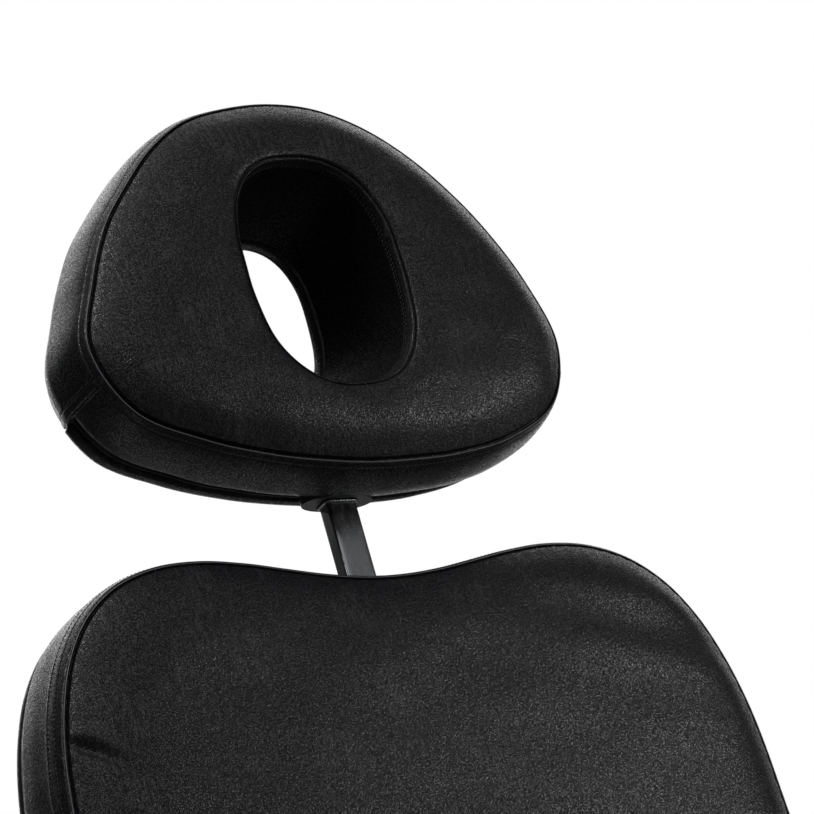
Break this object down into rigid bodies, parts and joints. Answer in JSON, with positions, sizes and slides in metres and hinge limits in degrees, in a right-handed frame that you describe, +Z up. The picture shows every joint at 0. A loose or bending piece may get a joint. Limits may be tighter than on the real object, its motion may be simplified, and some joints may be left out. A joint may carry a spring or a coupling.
{
  "type": "beauty treatment chair",
  "caption": "Padded beauty chair on a hydraulic column: reclining back, headrest with face hole, legrest and folding arms.",
  "frame": {"origin": "on the floor, on the axis of the lifting column", "axes": "+Z up, the sitter faces -Y, +X to the sitter's left"},
  "size_m": [0.74, 1.4534, 1.4015],
  "materials": {
    "black_leatherette": "satin",
    "chrome_plate": "polished",
    "zinc_plated_steel": "satin",
    "black_rubber": "matte",
    "grey_plastic": "matte",
    "birch_plywood": "matte",
    "black_powder_coat": "satin"
  },
  "bodies": {
    "base": {"base_plate": "black_powder_coat", "base_rim": "black_rubber", "base_cover": "chrome_plate", "pump_body": "chrome_plate", "pump_collar": "black_powder_coat", "pedal_pin": "zinc_plated_steel"},
    "pedal": {"pedal_arm": "chrome_plate", "pedal_pad": "black_rubber"},
    "column": {"ram_rod": "chrome_plate"},
    "seat": {"swivel_hub": "chrome_plate", "top_plate": "black_powder_coat", "seat_rail_left": "black_powder_coat", "seat_rail_right": "black_powder_coat", "seat_cross_tubes": "black_powder_coat", "seat_tube_caps": "grey_plastic", "seat_board": "birch_plywood", "seat_cushion": "black_leatherette", "back_hinge_plates": "black_powder_coat", "leg_hinge_plates": "black_powder_coat", "back_hinge_pins": "zinc_plated_steel", "leg_hinge_pins": "zinc_plated_steel", "spring_clevises": "black_powder_coat", "arm_outriggers": "black_powder_coat", "arm_posts": "black_powder_coat", "arm_hinge_cheeks": "black_powder_coat", "arm_pins": "zinc_plated_steel"},
    "left_arm": {"arm_bar_left": "black_powder_coat", "arm_pad_left": "black_leatherette"},
    "right_arm": {"arm_bar_right": "black_powder_coat", "arm_pad_right": "black_leatherette"},
    "legrest": {"leg_rails": "black_powder_coat", "leg_tube_caps": "grey_plastic", "leg_cross_tube": "black_powder_coat", "leg_lever": "black_powder_coat", "leg_board": "birch_plywood", "leg_cushion": "black_leatherette"},
    "backrest": {"back_rails": "black_powder_coat", "back_tube_caps": "grey_plastic", "back_cross_tubes": "black_powder_coat", "back_lever": "black_powder_coat", "back_ears": "black_powder_coat", "back_board": "birch_plywood", "back_cushion": "black_leatherette", "back_panel": "black_leatherette", "headrest_receiver": "black_powder_coat"},
    "clamp_knob": {"headrest_knob": "grey_plastic"},
    "headrest": {"headrest_post": "chrome_plate", "headrest_collar": "grey_plastic", "headrest_plate": "black_powder_coat", "headrest_cushion": "black_leatherette", "headrest_rear_pad": "black_leatherette"},
    "back_spring": {"back_spring_rod": "chrome_plate"},
    "back_spring_barrel": {"back_spring_cylinder": "black_powder_coat"},
    "leg_spring": {"leg_spring_rod": "chrome_plate"},
    "leg_spring_barrel": {"leg_spring_cylinder": "black_powder_coat"},
    "back_release_bar": {"back_release": "black_powder_coat"},
    "leg_release_bar": {"leg_release": "black_powder_coat"}
  },
  "joints": [
    {"name": "foot_pedal", "type": "hinge", "parent": "base", "child": "pedal", "pos_m": [0.078, 0, 0.104], "axis": [0, 1, 0], "range_deg": [0, 12], "stiffness_Nm_per_rad": 40, "springref_deg": -5.73},
    {"name": "pump_lift", "type": "slide", "parent": "base", "child": "column", "axis": [0, 0, 1], "range_m": [0, 0.18]},
    {"name": "seat_swivel", "type": "hinge", "parent": "column", "child": "seat", "pos_m": [0, 0, 0.34], "axis": [0, 0, 1], "continuous": true},
    {"name": "left_arm_fold", "type": "hinge", "parent": "seat", "child": "left_arm", "pos_m": [-0.33, 0.15, 0.65], "axis": [-1, 0, 0], "range_deg": [0, 90]},
    {"name": "right_arm_fold", "type": "hinge", "parent": "seat", "child": "right_arm", "pos_m": [0.33, 0.15, 0.65], "axis": [-1, 0, 0], "range_deg": [0, 90]},
    {"name": "back_recline", "type": "hinge", "parent": "seat", "child": "backrest", "pos_m": [0, 0.235, 0.471], "axis": [-1, 0, 0], "range_deg": [-13.7, 61.3]},
    {"name": "legrest_raise", "type": "hinge", "parent": "seat", "child": "legrest", "pos_m": [0, -0.292, 0.4], "axis": [-1, 0, 0], "range_deg": [-25, 35]},
    {"name": "headrest_height", "type": "slide", "parent": "backrest", "child": "headrest", "axis": [0, 0.4802, 0.8771], "range_m": [-0.055, 0.09]},
    {"name": "clamp_turn", "type": "hinge", "parent": "backrest", "child": "clamp_knob", "pos_m": [0, 0.52531, 0.95961], "axis": [0, 0.8771, -0.4802], "range_deg": [0, 180]},
    {"name": "back_spring_swing", "type": "hinge", "parent": "seat", "child": "back_spring", "pos_m": [0.062, 0, 0.328], "axis": [1, 0, 0], "range_deg": [-6, 3]},
    {"name": "back_spring_stroke", "type": "slide", "parent": "back_spring", "child": "back_spring_barrel", "axis": [0, 0.9464, 0.3231], "range_m": [-0.08, 0.025]},
    {"name": "leg_spring_swing", "type": "hinge", "parent": "seat", "child": "leg_spring", "pos_m": [-0.062, 0, 0.328], "axis": [1, 0, 0], "range_deg": [-3, 3]},
    {"name": "leg_spring_stroke", "type": "slide", "parent": "leg_spring", "child": "leg_spring_barrel", "axis": [0, -0.9967, 0.0808], "range_m": [-0.03, 0.035]},
    {"name": "back_release_lift", "type": "hinge", "parent": "seat", "child": "back_release_bar", "pos_m": [0.15, 0, 0.328], "axis": [-1, 0, 0], "range_deg": [0, 15], "stiffness_Nm_per_rad": 12, "springref_deg": -8.59},
    {"name": "leg_release_lift", "type": "hinge", "parent": "seat", "child": "leg_release_bar", "pos_m": [-0.15, 0, 0.328], "axis": [-1, 0, 0], "range_deg": [0, 15], "stiffness_Nm_per_rad": 12, "springref_deg": -8.59}
  ],
  "couplings": [
    {"joint": "back_spring_swing", "follows": "back_recline", "ratio": -0.065},
    {"joint": "back_spring_stroke", "follows": "back_recline", "m_per_rad": -0.07},
    {"joint": "leg_spring_swing", "follows": "legrest_raise", "ratio": -0.017},
    {"joint": "leg_spring_stroke", "follows": "legrest_raise", "m_per_rad": 0.0455}
  ]
}
